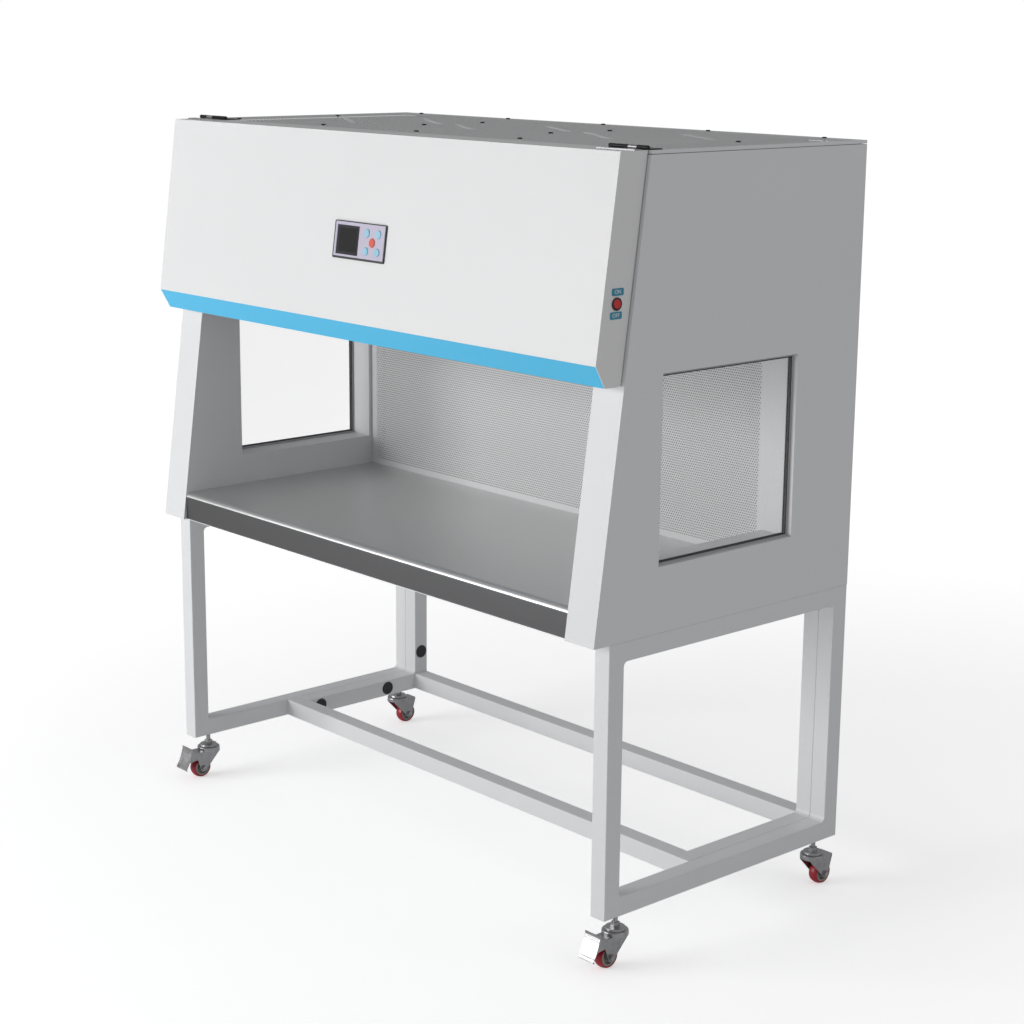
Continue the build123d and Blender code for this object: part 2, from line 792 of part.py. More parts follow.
with BuildPart() as hinge_fixed_leaves:
    for side, sign in sides:
        leaf(hinge_start, middle_start, sign, 1)
        leaf(middle_end, hinge_end, sign, 1)
        barrel(hinge_start, middle_start, sign, hinge_barrel_radius)
        barrel(middle_end, hinge_end, sign, hinge_barrel_radius)
        barrel(hinge_start, hinge_end, sign, hinge_pin_radius)
        with BuildSketch(box_plane(sign * (hinge_start + hinge_end) / 2, hinge_y + 0.75 * hinge_leaf_depth, cabinet_top)):
            Rectangle(hinge_length, hinge_leaf_depth / 2)
        extrude(amount=hinge_leaf_thickness)
keep("hinge_fixed_leaves", hinge_fixed_leaves)

with BuildPart() as hinge_cover_leaves:
    for side, sign in sides:
        leaf(middle_start + hinge_knuckle_gap, middle_end - hinge_knuckle_gap, sign, -1)
        barrel(middle_start + hinge_knuckle_gap, middle_end - hinge_knuckle_gap, sign, hinge_barrel_radius)
        barrel(middle_start, middle_end, sign, hinge_pin_radius + running_gap, Mode.SUBTRACT)
        with BuildSketch(box_plane(sign * (hinge_start + hinge_end) / 2, hinge_y - 0.75 * hinge_leaf_depth, cabinet_top)):
            Rectangle(hinge_length, hinge_leaf_depth / 2)
        extrude(amount=hinge_leaf_thickness)
keep("hinge_cover_leaves", hinge_cover_leaves)

# Stand
# Each side frame is a welded loop of square tube; the caster stems screw into its bottom rail.
stand_length = rear - stand_front
stand_centre = (stand_front + stand_length / 2, leg_bottom + frame_height / 2)
stem_places = [(sign * (half_width - tube / 2), y) for side, sign in sides for y in (stem_front, stem_rear)]

for side, sign in sides:
    frame_plane = Plane.YZ.offset(sign * (half_width - tube / 2))
    with BuildPart() as side_frame:
        with BuildSketch(frame_plane):
            with Locations(stand_centre):
                Rectangle(stand_length, frame_height)
                opening_length = stand_length - 2 * tube
                opening_height = frame_height - 2 * tube
                RectangleRounded(opening_length, opening_height, inner_corner, mode=Mode.SUBTRACT)
        extrude(amount=tube / 2, both=True)
        outer_edges = side_frame.faces().filter_by(Axis.X).edges()
        fillet(outer_edges, radius=tube_edge)
        with BuildSketch(frame_plane):
            with Locations(stand_centre):
                Rectangle(stand_length - 2 * tube_wall, frame_height - 2 * tube_wall)
                inner_length = opening_length + 2 * tube_wall
                inner_height = opening_height + 2 * tube_wall
                RectangleRounded(inner_length, inner_height, inner_corner + tube_wall, mode=Mode.SUBTRACT)
        extrude(amount=tube / 2 - tube_wall, both=True, mode=Mode.SUBTRACT)
        with BuildSketch(box_plane(sign * (half_width - tube / 2), 0, leg_bottom)):
            with Locations((0, stem_front), (0, stem_rear)):
                Circle(stem_radius + tyre_gap)
        extrude(amount=tube_wall, mode=Mode.SUBTRACT)
    keep(f"{side}_side_frame", side_frame)


def across_plane(half_length, y, z):
    """The plane at the left end of a rail that runs across the stand."""
    return Plane(origin=(-half_length, y, z), x_dir=(0, 1, 0), z_dir=(1, 0, 0))


def tube_along(axis_plane, length):
    """A square tube with rounded edges, along the plane's normal."""
    with BuildSketch(axis_plane) as section:
        RectangleRounded(tube, tube, tube_edge)
        RectangleRounded(tube - 2 * tube_wall, tube - 2 * tube_wall, tube_edge / 2, mode=Mode.SUBTRACT)
    extrude(section.sketch, amount=length)


# A middle rail joins them. The rear frame is bolted between them: two rails across, and on each
# side a short rail and a post that lie against the side frame.
rail_centre_z = leg_bottom + tube / 2
inner_face = half_width - tube
inner_rail_x = inner_face - tube / 2
mid_rail_y = mid_rail_front + tube / 2
rear_rail_y = rear - tube / 2

rear_rail_half = inner_face - tube
with BuildPart() as cross_rails:
    tube_along(across_plane(inner_face, mid_rail_y, rail_centre_z), 2 * inner_face)
    for z in (rail_centre_z, cabinet_bottom - tube / 2):
        tube_along(across_plane(rear_rail_half, rear_rail_y, z), 2 * rear_rail_half)
keep("cross_rails", cross_rails)

# The short rail and the post are one welded piece, like the side frames.
rail_start = mid_rail_front + tube
for side, sign in sides:
    frame_plane = Plane.YZ.offset(sign * inner_rail_x)
    with BuildPart() as inner_frame:
        with BuildSketch(frame_plane) as elbow:
            with BuildLine():
                Polyline(
                    (rail_start, leg_bottom),
                    (rear, leg_bottom),
                    (rear, cabinet_bottom),
                    (rear - tube, cabinet_bottom),
                    (rear - tube, leg_bottom + tube),
                    (rail_start, leg_bottom + tube),
                    close=True,
                )
            make_face()
            fillet(vertices().group_by(Axis.X)[1].sort_by(Axis.Y)[0], radius=inner_corner)
        extrude(amount=tube / 2, both=True)
        fillet(inner_frame.faces().filter_by(Axis.X).edges(), radius=tube_edge)
        with BuildSketch(frame_plane):
            add(elbow.sketch_local)
            offset(amount=-tube_wall, kind=Kind.INTERSECTION, mode=Mode.REPLACE)
        extrude(amount=tube / 2 - tube_wall, both=True, mode=Mode.SUBTRACT)
    keep(f"{side}_inner_frame", inner_frame)

# Plugs over the bolts that hold the rear frame
plug_x = inner_face - tube
rail_plug_y = (rear - tube - plug_inset - plug_radius - rail_plug_pitch, rear - tube - plug_inset - plug_radius)
post_plug_z = (leg_bottom + post_plug_height, cabinet_bottom - post_plug_top)
plug_spots = [(y, rail_centre_z) for y in rail_plug_y] + [(rear_rail_y, z) for z in post_plug_z]
with BuildPart() as frame_plugs:
    for side, sign in sides:
        with BuildSketch(Plane.YZ.offset(sign * plug_x)):
            with Locations(*plug_spots):
                Circle(plug_radius)
        extrude(amount=-sign * plug_lip)
    rims = frame_plugs.edges().filter_by(GeomType.CIRCLE).filter_by(lambda edge: abs(edge.center().X) < plug_x - plug_edge)
    chamfer(rims, length=plug_edge)
keep("frame_plugs", frame_plugs)

# Casters
# The stem is one turned piece: threaded shank, nut, upper race, and the king pin that the fork
# turns on, riveted over below it.
fork_top = fork_plate_height + fork_sheet
race_top = fork_top + race_height
upper_race_bottom = race_top + race_gap
king_bottom = fork_plate_height - race_gap - king_head_height

with BuildPart() as caster_stems:
    upper_race_top = upper_race_bottom + upper_race_height
    with BuildSketch(Plane.XY.offset(upper_race_bottom)):
        with Locations(*stem_places):
            Circle(upper_race_radius)
    extrude(amount=upper_race_height, taper=12)
    with BuildSketch(Plane.XY.offset(upper_race_top)):
        with Locations(*stem_places):
            RegularPolygon(nut_radius, 6)
    extrude(amount=nut_height)
    with BuildSketch(Plane.XY.offset(upper_race_top + nut_height)):
        with Locations(*stem_places):
            Circle(stem_radius)
    extrude(amount=leg_bottom + stem_engagement - upper_race_top - nut_height)
    with BuildSketch(Plane.XY.offset(king_bottom)):
        with Locations(*stem_places):
            Circle(king_pin_radius)
    extrude(amount=upper_race_bottom - king_bottom)
    with BuildSketch(Plane.XY.offset(king_bottom)):
        with Locations(*stem_places):
            Circle(king_head_radius)
    extrude(amount=king_head_height)
keep("caster_stems", caster_stems)

caster_sites = (
    ("front_left", -1, stem_front, 1),
    ("front_right", 1, stem_front, 1),
    ("rear_left", -1, stem_rear, -1),
    ("rear_right", 1, stem_rear, -1),
)
wheel_radius = wheel_diameter / 2
fork_half = fork_inner / 2 + fork_sheet
tyre_inner = wheel_radius - tyre_thickness
hub_radius = tyre_inner - tyre_gap
boss_half = fork_inner / 2 - seam

for corner, sign, stem_y, heading in caster_sites:
    # Each caster has its own axes: u across the wheel, v along its roll, both turned with heading,
    # so that the wheel trails towards the nearer end of the stand.
    stem_x = sign * (half_width - tube / 2)
    level = Plane(origin=(stem_x, stem_y, 0), x_dir=(heading, 0, 0), z_dir=(0, 0, 1))
    upright = Plane(origin=(stem_x, stem_y, 0), x_dir=(0, heading, 0), z_dir=(heading, 0, 0))
    axle_at = (-trail, wheel_radius)

    with BuildPart() as fork:
        with BuildSketch(level.offset(fork_plate_height)):
            Circle(race_radius)
            with Locations((0, -fork_reach / 2)):
                Rectangle(2 * fork_half, fork_reach)
        extrude(amount=fork_sheet)
        with BuildSketch(level.offset(fork_top)):
            Circle(race_radius)
        extrude(amount=race_height)
        race_rim = fork.edges().filter_by(GeomType.CIRCLE).group_by(Axis.Z)[-1]
        fillet(race_rim, radius=race_round)
        for cheek in (-1, 1):
            with BuildSketch(upright.offset(cheek * (fork_inner / 2 + fork_sheet / 2))):
                with Locations(axle_at):
                    Circle(fork_boss_radius)
                with Locations(((fork_back - fork_reach) / 2, fork_plate_height)):
                    Rectangle(fork_reach + fork_back, 2 * fork_sheet)
                make_hull()
            extrude(amount=fork_sheet / 2, both=True)
        with BuildSketch(level.offset(race_top)):
            Circle(king_pin_radius + running_gap)
        extrude(amount=-race_height - 2 * fork_sheet, mode=Mode.SUBTRACT)
        with BuildSketch(upright):
            with Locations(axle_at):
                Circle(axle_radius + running_gap)
        extrude(amount=2 * fork_half, both=True, mode=Mode.SUBTRACT)
        if heading > 0:
            with BuildSketch(upright):
                with Locations((-pedal_pivot_forward, pedal_pivot_height)):
                    Circle(pedal_pin_radius + running_gap)
            extrude(amount=2 * fork_half, both=True, mode=Mode.SUBTRACT)
    keep(f"{corner}_fork", fork)

    with BuildPart() as axle:
        with BuildSketch(upright):
            with Locations(axle_at):
                Circle(axle_radius)
        extrude(amount=fork_half + axle_tail, both=True)
        for end in (-1, 1):
            with BuildSketch(upright.offset(end * fork_half)):
                with Locations(axle_at):
                    RegularPolygon(axle_head, 6)
            extrude(amount=end * axle_head_height)
    keep(f"{corner}_axle", axle)

    roll_axis = Axis((stem_x, stem_y - heading * trail, wheel_radius), (1, 0, 0))
    profile_plane = Plane(origin=(stem_x, stem_y - heading * trail, wheel_radius), x_dir=(1, 0, 0), z_dir=(0, -1, 0))
    with BuildPart() as tyre:
        with BuildSketch(profile_plane):
            with BuildLine():
                Polyline(
                    (-tread_width / 2, wheel_radius - tread_crown),
                    (-tread_width / 2, tyre_inner),
                    (tread_width / 2, tyre_inner),
                    (tread_width / 2, wheel_radius - tread_crown),
                )
                tread_side = (tread_width / 2, wheel_radius - tread_crown)
                ThreePointArc((-tread_side[0], tread_side[1]), (0, wheel_radius), tread_side)
            make_face()
        revolve(axis=roll_axis)
    keep(f"{corner}_tyre", tyre)

    with BuildPart() as hub:
        with BuildSketch(profile_plane):
            with Locations((0, (axle_radius + running_gap + hub_radius) / 2)):
                Rectangle(hub_web, hub_radius - axle_radius - running_gap)
            with Locations((0, (axle_radius + running_gap + hub_boss_radius) / 2)):
                Rectangle(2 * boss_half, hub_boss_radius - axle_radius - running_gap)
            with Locations((0, hub_radius - hub_rim / 2)):
                Rectangle(tread_width - 2 * seam, hub_rim)
        revolve(axis=roll_axis)
    keep(f"{corner}_hub", hub)

    if heading > 0:
        # The brake pedal hooks round the front of the fork. Its ears turn on a pin through the
        # fork's cheeks, and its shoe comes down on the tread.
        ear_inner = fork_half + pedal_gap
        with BuildPart() as brake_pedal:
            with BuildSketch(upright):
                with BuildLine():
                    Polyline(*pedal_profile)
                trace(line_width=pedal_sheet)
                with Locations(*pedal_ribs):
                    Circle(pedal_rib)
            extrude(amount=pedal_width / 2, both=True)
            for ear in (-1, 1):
                with BuildSketch(upright.offset(ear * (ear_inner + pedal_sheet / 2))):
                    with Locations((-pedal_pivot_forward, pedal_pivot_height)):
                        Circle(pedal_ear_radius)
                    with Locations(pedal_profile[1], pedal_profile[3]):
                        Circle(pedal_sheet / 2)
                    make_hull()
                extrude(amount=pedal_sheet / 2, both=True)
            with BuildSketch(upright):
                with Locations((-pedal_pivot_forward, pedal_pivot_height)):
                    Circle(pedal_pin_radius)
            extrude(amount=ear_inner + pedal_sheet, both=True)
            with BuildSketch(upright):
                with BuildLine():
                    Polyline(
                        (-pedal_pivot_forward, pedal_pivot_height),
                        (-shoe_forward + pedal_sheet, shoe_height),
                        (-shoe_forward - pedal_sheet, shoe_height),
                        (-pedal_pivot_forward - 2 * pedal_sheet, pedal_pivot_height),
                        close=True,
                    )
                make_face()
            extrude(amount=shoe_width / 2, both=True)
        keep(f"{corner}_brake_pedal", brake_pedal)
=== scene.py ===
# %% [markdown]
# # A laminar flow hood, dressed for the camera
# The frame comes from CAD with every sheet, tube and wheel in its place. This script gives it its
# looks: the two perforated sheets, the switch plates and the small trim, a material for every
# piece, the studio and the camera. All sizes are in metres.

# %% Load the frame
import bpy
import bmesh
import math
from mathutils import Euler, Matrix, Vector


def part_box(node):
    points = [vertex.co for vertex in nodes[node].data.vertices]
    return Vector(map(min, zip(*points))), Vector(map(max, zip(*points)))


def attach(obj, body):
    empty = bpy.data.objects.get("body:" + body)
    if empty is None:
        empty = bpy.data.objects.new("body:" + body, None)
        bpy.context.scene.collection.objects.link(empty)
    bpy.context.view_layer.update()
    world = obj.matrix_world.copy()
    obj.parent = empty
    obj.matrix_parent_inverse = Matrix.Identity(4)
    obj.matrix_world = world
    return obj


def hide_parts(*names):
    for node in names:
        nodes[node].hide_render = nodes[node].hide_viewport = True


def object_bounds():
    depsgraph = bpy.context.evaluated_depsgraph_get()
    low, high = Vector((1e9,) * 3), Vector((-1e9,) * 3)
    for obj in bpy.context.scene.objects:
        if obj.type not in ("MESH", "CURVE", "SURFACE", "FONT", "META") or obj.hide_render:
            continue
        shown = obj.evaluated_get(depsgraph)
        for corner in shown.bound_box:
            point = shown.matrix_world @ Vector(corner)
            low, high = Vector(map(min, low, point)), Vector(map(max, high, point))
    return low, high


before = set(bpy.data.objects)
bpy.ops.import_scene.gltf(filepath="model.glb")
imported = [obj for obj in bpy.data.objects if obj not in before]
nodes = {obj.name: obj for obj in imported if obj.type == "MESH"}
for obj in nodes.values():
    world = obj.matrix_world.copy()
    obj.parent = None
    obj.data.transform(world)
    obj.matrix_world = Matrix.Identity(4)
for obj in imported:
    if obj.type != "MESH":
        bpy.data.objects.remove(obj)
cad_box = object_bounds()

# %% [markdown]
# ## Places to measure from
# The CAD boxes say where things are, so the place of a CAD piece is never written down twice.

# %% Read the places that the new pieces need
def span(node):
    """The lowest and highest corner of a CAD node, as vectors."""
    low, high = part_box(node)
    return Vector(low), Vector(high)


diffuser_low, diffuser_high = span("diffuser_panel")
lid_low, lid_high = span("top_panel")
cover_low, cover_high = span("front_cover")
worktop_low, worktop_high = span("work_surface")
gasket_low, gasket_high = span("window_gaskets")
bezel_low, bezel_high = span("control_bezel")
screen_low, screen_high = span("control_screen")
switch_low, switch_high = span("switch_bezel")
print("diffuser", diffuser_low, diffuser_high)
print("lid", lid_low, lid_high)

# %% [markdown]
# ## Node maths that reads like maths
# A node tree is easier to follow when a socket can be added, multiplied and compared like a
# number. `Value` wraps an output socket, and each operator adds one Math node. It works in a
# material and in a Geometry Nodes group alike.

# %% A wrapper for sockets
class Value:
    """An output socket that takes part in arithmetic."""

    def __init__(self, tree, socket):
        self.tree = tree
        self.socket = socket

    def math(self, operation, *others):
        node = self.tree.nodes.new("ShaderNodeMath")
        node.operation = operation
        for socket, value in zip(node.inputs, (self, *others)):
            put(self.tree, socket, value)
        return Value(self.tree, node.outputs[0])

    def __add__(self, other):
        return self.math("ADD", other)

    def __sub__(self, other):
        return self.math("SUBTRACT", other)

    def __rsub__(self, other):
        return self * -1 + other

    def __mul__(self, other):
        return self.math("MULTIPLY", other)

    def __truediv__(self, other):
        return self.math("DIVIDE", other)

    def __lt__(self, other):
        return self.math("LESS_THAN", other)

    def __gt__(self, other):
        return self.math("GREATER_THAN", other)

    def abs(self):
        return self.math("ABSOLUTE")

    def smaller(self, other):
        """The smaller of the two."""
        return self.math("MINIMUM", other)

    def larger(self, other):
        """The larger of the two."""
        return self.math("MAXIMUM", other)


def put(tree, socket, value):
    """Links a Value to an input, or sets the input's own number or colour."""
    if isinstance(value, Value):
        tree.links.new(value.socket, socket)
    else:
        socket.default_value = value


# %% [markdown]
# ## A material under construction
# `Paint` holds a material's tree and its shader. Its methods add the few nodes that all the
# materials here are made from, always in object space.

# %% The Paint class
class Paint:
    """A material, its tree, its shader and the place of the point that is shaded."""

    def __init__(self, name, **constants):
        self.material = bpy.data.materials.new(name)
        self.material.use_nodes = True
        self.tree = self.material.node_tree
        self.shader = self.tree.nodes["Principled BSDF"]
        self.set(**constants)
        coords = self.tree.nodes.new("ShaderNodeTexCoord")
        self.place = Value(self.tree, coords.outputs["Object"])

    def set(self, **inputs):
        """Sets or links inputs of the shader, with an underscore for each space in a name."""
        for key, value in inputs.items():
            put(self.tree, self.shader.inputs[key.replace("_", " ")], value)

    def node(self, kind, output=0, **inputs):
        """Any other node: its inputs by name, and the output wanted."""
        made = self.tree.nodes.new(kind)
        for key, value in inputs.items():
            put(self.tree, made.inputs[key], value)
        return Value(self.tree, made.outputs[output])

    def axes(self):
        """The X, Y and Z of the place, as three Values."""
        split = self.tree.nodes.new("ShaderNodeSeparateXYZ")
        put(self.tree, split.inputs[0], self.place)
        return [Value(self.tree, output) for output in split.outputs]

    def stretched(self, x, y, z):
        """The place with each axis scaled, for grain that runs one way."""
        return self.node("ShaderNodeMapping", Vector=self.place, Scale=(x, y, z))

    def noise(self, scale, detail=2.0, where=None):
        place = where or self.place
        return self.node("ShaderNodeTexNoise", Vector=place, Scale=scale, Detail=detail)

    def mix(self, factor, first, second):
        """A colour between two colours: a Mix node's inputs 6 and 7, and its output 2."""
        made = self.tree.nodes.new("ShaderNodeMix")
        made.data_type = "RGBA"
        for number, value in ((0, factor), (6, first), (7, second)):
            put(self.tree, made.inputs[number], value)
        return Value(self.tree, made.outputs[2])

    def colour(self, pattern, first, second):
        """Lets the base colour run between two colours with a pattern."""
        self.set(Base_Color=self.mix(pattern, first, second))

    def tint(self, mask, colour):
        """Lays a colour over the base colour wherever the mask is 1."""
        base = self.shader.inputs["Base Color"].links[0].from_socket
        self.colour(mask, Value(self.tree, base), colour)

    def gloss(self, pattern, low, high):
        """Lets the roughness run from low to high with a pattern."""
        self.set(Roughness=pattern * (high - low) + low)

    def bump(self, height, strength, distance):
        normal = self.node("ShaderNodeBump", Height=height, Strength=strength, Distance=distance)
        self.set(Normal=normal)


def rgb(red, green, blue):
    return (red, green, blue, 1)


def grey(value):
    return rgb(value, value, value)


def shades(colour, amount):
    """A darker and a lighter neighbour of a colour."""
    return [rgb(*(min(1, part * factor) for part in colour)) for factor in (1 - amount, 1 + amount)]

# %% [markdown]
# ## Powder coat
# Powder coat is almost flat. What makes it read as paint is the fine orange peel in its surface
# and a very faint change of tone and gloss, so all of them come from noise in object space.

# %% Powder-coated sheet and tube
def powder_coat(name, colour, roughness=0.42):
    paint = Paint(name, Roughness=roughness, IOR=1.45)
    paint.colour(paint.noise(3.5), *shades(colour, 0.018))
    paint.gloss(paint.noise(60), roughness - 0.05, roughness + 0.05)
    paint.bump(paint.noise(850, 3), 0.05, 0.0006)
    return paint


coat = powder_coat("powder_coat", (0.74, 0.75, 0.765))
perforated_coat = powder_coat("perforated_coat", (0.76, 0.765, 0.77), 0.46)
# Painted light: the lid's perforated field gets a lighter copy of the powder coat than the rest of
# the lid.
lid_field_painted_light_coat = powder_coat("lid_field_painted_light_coat", (0.86, 0.87, 0.88), 0.5)
print("coats ready")

# %% [markdown]
# ## The cover's blue band
# The cover is one folded sheet in CAD: a face that leans back, then a knee, then an undercut strip
# that runs back to the cover's foot. The strip is blue, and only on the outside, so the mask asks
# how far a point lies from the plane of that strip, and how near it is to the strip's edges. The
# strip's upper corners are rounded.

# %% Cover paint with its band
face_height = 0.384
face_lean = 0.053
undercut = 0.0245
band_depth = 0.0007
band_margin = 0.0012
band_corner = 0.006

knee = Vector((0, cover_low.y, cover_high.z - face_height))
foot = Vector((0, cover_low.y + undercut, cover_low.z))
slope = (foot - knee).normalized()
outward = Vector((0, slope.z, -slope.y))

cover_coat = powder_coat("cover_coat", (0.765, 0.768, 0.775), 0.38)
x, y, z = cover_coat.axes()
off_plane = ((y - knee.y) * outward.y + (z - knee.z) * outward.z).abs()
down = (y - knee.y) * slope.y + (z - knee.z) * slope.z
from_end = cover_high.x - x.abs()
corner_down = (band_corner - down).larger(0)
corner_in = (band_corner - from_end).larger(0)
past_corner = (corner_down.math("POWER", 2) + corner_in.math("POWER", 2)).math("SQRT")
inside = (down > band_margin) * (from_end > band_margin) * (past_corner < band_corner)
cover_coat.tint((off_plane < band_depth) * inside, rgb(0.085, 0.53, 0.84))
print("band from", round(knee.z, 4), "down to", round(foot.z, 4))

# %% [markdown]
# ## Metals
# Brushed steel gets its grain from noise stretched a hundred times along the brushing, and the
# worktop's folded apron is painted dark, as painted shade on the same steel. Chrome only needs
# faint smudges in its roughness, and galvanised sheet shows its crystals through a Voronoi pattern.

# %% Steel, chrome, zinc and galvanised sheet
apron_depth = 0.004
apron_edge = 0.0095

steel = Paint("brushed_steel", Metallic=1.0, Roughness=0.32)
grain = steel.noise(1.0, 4, steel.stretched(9, 900, 900))
x, y, z = steel.axes()
# Painted shade: the worktop's folded apron is the same steel as the top, darkened in its colour.
apron_painted_shade = (y < worktop_low.y + apron_depth) * (z < worktop_high.z - apron_edge)
steel.colour(grain, grey(0.68), grey(0.80))
steel.tint(apron_painted_shade, rgb(0.11, 0.11, 0.113))
steel.gloss(grain, 0.30, 0.46)
steel.bump(grain, 0.10, 0.0002)

chrome = Paint("caster_chrome", Metallic=1.0, Roughness=0.3)
smudge = chrome.noise(70, 3)
chrome.colour(smudge, rgb(0.34, 0.34, 0.35), rgb(0.52, 0.52, 0.53))
chrome.gloss(smudge, 0.22, 0.38)
chrome.bump(chrome.noise(260), 0.05, 0.0004)

zinc = Paint("bright_zinc", Metallic=1.0, Roughness=0.22)
zinc.colour(zinc.noise(120), rgb(0.34, 0.34, 0.35), rgb(0.50, 0.50, 0.51))
zinc.gloss(zinc.noise(200), 0.28, 0.43)

galvanised = Paint("galvanised_sheet", Metallic=0.9, Roughness=0.45)
crystal = galvanised.node("ShaderNodeTexVoronoi", "Color", Vector=galvanised.place, Scale=90.0)
tone = galvanised.node("ShaderNodeRGBToBW", Color=crystal)
galvanised.colour(tone, rgb(0.46, 0.48, 0.50), rgb(0.62, 0.64, 0.66))
galvanised.gloss(tone, 0.35, 0.55)

black_oxide = Paint("black_oxide", Metallic=0.6, Roughness=0.4)
black_oxide.colour(black_oxide.noise(300), grey(0.010), grey(0.028))
black_oxide.gloss(black_oxide.noise(500), 0.3, 0.5)
print("metals ready")

# %% [markdown]
# ## Rubber, plastic and glass
# Moulded parts have a fine texture in the surface and a slightly uneven gloss. The window glass is
# thin and clear, with a slight grey.

# %% Moulded materials
def moulded(name, colour, roughness, grain_scale=1400, grain_depth=0.05, coat_weight=0.0):
    paint = Paint(name, Roughness=roughness, Coat_Weight=coat_weight, Coat_Roughness=0.08)
    paint.colour(paint.noise(45, 3), *shades(colour, 0.07))
    paint.gloss(paint.noise(220), roughness - 0.06, roughness + 0.06)
    paint.bump(paint.noise(grain_scale), grain_depth, 0.0004)
    return paint


tyre_red = moulded("crimson_tyre", (0.38, 0.010, 0.026), 0.34, 420, 0.06, 0.15)
hub_grey = moulded("hub_nylon", (0.30, 0.30, 0.27), 0.42)
black_plastic = moulded("black_plastic", (0.016, 0.016, 0.018), 0.36)
gasket_grey = moulded("glazing_rubber", (0.42, 0.42, 0.43), 0.62, 700)
button_blue = moulded("button_blue", (0.30, 0.60, 0.76), 0.30, 900, 0.03, 0.4)
button_red = moulded("button_red", (0.72, 0.095, 0.05), 0.30, 900, 0.03, 0.4)
rocker_red = moulded("rocker_red", (0.60, 0.012, 0.010), 0.24, 900, 0.02, 0.6)
lamp_opal = moulded("lamp_opal", (0.86, 0.87, 0.86), 0.35, 500, 0.02)
# Painted shade: the prefilter foam is darkened in its colour, so the lid's holes read as dark.
filter_foam_painted_shade = moulded("filter_foam_painted_shade", (0.10, 0.101, 0.105), 0.85, 350, 0.5)
# Painted shade: the HEPA media is darkened in its colour, so the diffuser's holes read as dark.
filter_media = moulded("filter_media", (0.16, 0.161, 0.163), 0.8, 600, 0.3)
plate_teal = moulded("plate_teal", (0.035, 0.27, 0.40), 0.36)
plate_white = moulded("plate_lettering", (0.80, 0.82, 0.83), 0.40)

window = Paint("window_glass", Roughness=0.03, IOR=1.50)
window.colour(window.noise(2.0), rgb(0.52, 0.53, 0.53), rgb(0.58, 0.59, 0.59))
window.gloss(window.noise(30), 0.01, 0.03)
window.set(Alpha=window.noise(1.5) * 0.04 + 0.08)
print("moulded materials ready")

# %% [markdown]
# The glazing channel is grey, with a dark lip against the glass. The lip is a mask on how far a
# point lies inside the channel's outline.

# %% The dark lip of the glazing channel
channel_face = 0.0048

x, y, z = gasket_grey.axes()
inside_y = (y - gasket_low.y).smaller(gasket_high.y - y)
inside_z = (z - gasket_low.z).smaller(gasket_high.z - z)
gasket_grey.tint(inside_y.smaller(inside_z) > channel_face, rgb(0.045, 0.045, 0.047))

# %% [markdown]
# ## The control panel
# The bezel is one moulding: a dark rim round a lilac membrane. The screen has a rim too. Both rims
# are masks on the distance from the piece's middle, to the side and up the sloping face.

# %% Bezel and screen
bezel_half = Vector((0.085, 0.039))
bezel_rim = Vector((0.0032, 0.0034))
screen_inner = Vector((0.0305, 0.0245))
face_up = Vector((0, face_lean, face_height)).normalized()


def beyond(paint, middle, reach):
    """A mask: 1 where a point lies further from the middle than a half width or half height."""
    x, y, z = paint.axes()
    rise = ((y - middle.y) * face_up.y + (z - middle.z) * face_up.z).abs()
    return ((x - middle.x).abs() > reach.x) + (rise > reach.y) > 0.5


membrane = moulded("bezel_membrane", (0.53, 0.50, 0.62), 0.30, 1800, 0.03, 0.3)
bezel_middle = (bezel_low + bezel_high) / 2
membrane.tint(beyond(membrane, bezel_middle, bezel_half - bezel_rim), rgb(0.012, 0.012, 0.014))

screen = Paint("screen_black", Roughness=0.10, Coat_Weight=0.5, Coat_Roughness=0.03)
screen_edge = beyond(screen, (screen_low + screen_high) / 2, screen_inner)
screen.colour(screen_edge, rgb(0.0075, 0.008, 0.008), rgb(0.030, 0.028, 0.034))
screen.gloss(screen.noise(40), 0.08, 0.13)
print("panel centre", bezel_middle)

# %% [markdown]
# ## Mesh helpers
# New pieces are plain meshes with their place in their vertices, like the CAD nodes. Each one says
# which body it rides on, which material it wears and which CAD node it stands in for.

# %% Objects, pieces and boxes
def add_object(name, data):
    """A new object in the scene."""
    made = bpy.data.objects.new(name, data)
    bpy.context.scene.collection.objects.link(made)
    return made


def evaluated_mesh(worker):
    """The mesh that an object comes to once its nodes have run. The object itself goes."""
    graph = bpy.context.evaluated_depsgraph_get()
    mesh = bpy.data.meshes.new_from_object(worker.evaluated_get(graph))
    bpy.data.objects.remove(worker)
    return mesh


def add_piece(name, mesh, body, replaced=()):
    """Makes a mesh into a piece of the part."""
    piece = add_object(name, mesh)
    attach(piece, body)
    if replaced:
        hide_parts(*replaced)


def finish_mesh(builder, name, paint, body, replaced=()):
    """Makes a bmesh into a piece of the part, in one material."""
    bmesh.ops.recalc_face_normals(builder, faces=builder.faces)
    mesh = bpy.data.meshes.new(name)
    builder.to_mesh(mesh)
    builder.free()
    mesh.materials.append(paint.material)
    add_piece(name, mesh, body, replaced)


def add_box(builder, low, high):
    """Adds a box between two corners."""
    low = Vector(low)
    high = Vector(high)
    matrix = Matrix.Translation((low + high) / 2) @ Matrix.Diagonal((*(high - low), 1))
    bmesh.ops.create_cube(builder, size=1.0, matrix=matrix)


# %% [markdown]
# ## Perforated sheet
# One tile is a rectangle with a hexagonal hole. Geometry Nodes repeats it on a grid and shifts
# every second row by half a pitch, which is how such sheet is punched.

